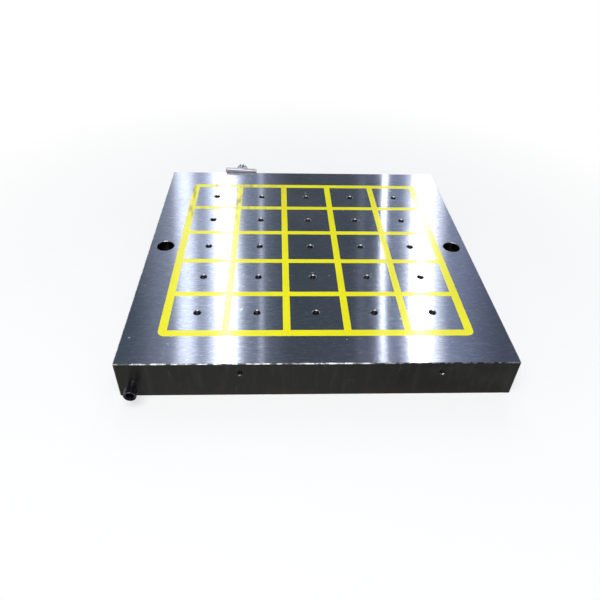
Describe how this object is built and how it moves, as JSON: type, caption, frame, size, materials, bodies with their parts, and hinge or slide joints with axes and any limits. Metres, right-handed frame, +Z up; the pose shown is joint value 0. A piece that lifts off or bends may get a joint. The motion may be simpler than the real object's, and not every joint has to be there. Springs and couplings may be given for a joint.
{
  "type": "magnetic chuck",
  "caption": "Square electro-permanent magnetic chuck: steel block with a resin-set grid of poles, a round power connector in front and a swivelling work stop behind.",
  "frame": {"origin": "centre of the body's underside, which rests on the machine table", "axes": "+Z up, normal to the working face; -Y towards the connector's face; +X to the right seen from there"},
  "size_m": [0.358, 0.4152, 0.0461],
  "materials": {
    "ground_steel": "ground and lightly oiled",
    "yellow_resin": "glossy cast resin, ground flush",
    "potting": "cast resin",
    "alnico": "rough cast magnet",
    "copper_winding": "enamelled copper wire",
    "plated_magnet": "nickel plated",
    "zinc_screw": "zinc plated",
    "lead_sheath": "matt insulation",
    "black_anodised": "satin black",
    "plated_brass": "nickel plated",
    "black_plastic": "moulded",
    "gold_contact": "gold plated",
    "stop_steel": "ground",
    "bronze": "turned",
    "polished_steel": "turned and polished"
  },
  "bodies": {
    "chuck": {"chuck_body": "ground_steel", "pole_1_1": "ground_steel", "pole_1_2": "ground_steel", "pole_1_3": "ground_steel", "pole_1_4": "ground_steel", "pole_1_5": "ground_steel", "pole_2_1": "ground_steel", "pole_2_2": "ground_steel", "pole_2_3": "ground_steel", "pole_2_4": "ground_steel", "pole_2_5": "ground_steel", "pole_3_1": "ground_steel", "pole_3_2": "ground_steel", "pole_3_3": "ground_steel", "pole_3_4": "ground_steel", "pole_3_5": "ground_steel", "pole_4_1": "ground_steel", "pole_4_2": "ground_steel", "pole_4_3": "ground_steel", "pole_4_4": "ground_steel", "pole_4_5": "ground_steel", "pole_5_1": "ground_steel", "pole_5_2": "ground_steel", "pole_5_3": "ground_steel", "pole_5_4": "ground_steel", "pole_5_5": "ground_steel", "resin_grid": "yellow_resin", "lower_potting": "potting", "seal_plugs": "potting", "alnico_row_1": "alnico", "alnico_row_2": "alnico", "alnico_row_3": "alnico", "alnico_row_4": "alnico", "alnico_row_5": "alnico", "coil_row_1": "copper_winding", "coil_row_2": "copper_winding", "coil_row_3": "copper_winding", "coil_row_4": "copper_winding", "coil_row_5": "copper_winding", "column_magnets_1": "plated_magnet", "column_magnets_2": "plated_magnet", "column_magnets_3": "plated_magnet", "column_magnets_4": "plated_magnet", "row_magnets_1": "plated_magnet", "row_magnets_2": "plated_magnet", "row_magnets_3": "plated_magnet", "row_magnets_4": "plated_magnet", "frame_magnets": "plated_magnet", "pole_screws": "zinc_screw", "duct_plug": "zinc_screw", "lead_harness": "lead_sheath", "connector_shell": "black_anodised", "connector_ferrule": "plated_brass", "insulator": "black_plastic", "contact_pins": "gold_contact"},
    "connector_collar": {"locking_collar": "black_anodised"},
    "loose_washer": {"clamp_washer": "zinc_screw"},
    "clamp_screw": {"thumb_screw": "polished_steel"},
    "stop_swivel": {"guide_sleeve": "bronze"},
    "work_stop": {"stop_plate": "stop_steel"}
  },
  "joints": [
    {"name": "collar_turn", "type": "hinge", "parent": "chuck", "child": "connector_collar", "pos_m": [-0.165, -0.193, 0.0166], "axis": [0, -1, 0], "continuous": true},
    {"name": "washer_release", "type": "slide", "parent": "chuck", "child": "loose_washer", "axis": [0, 1, 0], "range_m": [0, 0.001]},
    {"name": "screw_turn", "type": "hinge", "parent": "loose_washer", "child": "clamp_screw", "pos_m": [-0.0875, 0.182, 0.029], "axis": [0, 1, 0], "range_deg": [0, 360]},
    {"name": "stop_swing", "type": "hinge", "parent": "chuck", "child": "stop_swivel", "pos_m": [-0.0875, 0.182, 0.029], "axis": [0, 1, 0], "continuous": true},
    {"name": "stop_height", "type": "slide", "parent": "stop_swivel", "child": "work_stop", "axis": [0.0558, 0, 0.9984], "range_m": [-0.006, 0.002]}
  ],
  "couplings": [
    {"joint": "screw_turn", "follows": "washer_release", "rad_per_m": 6283.2}
  ]
}
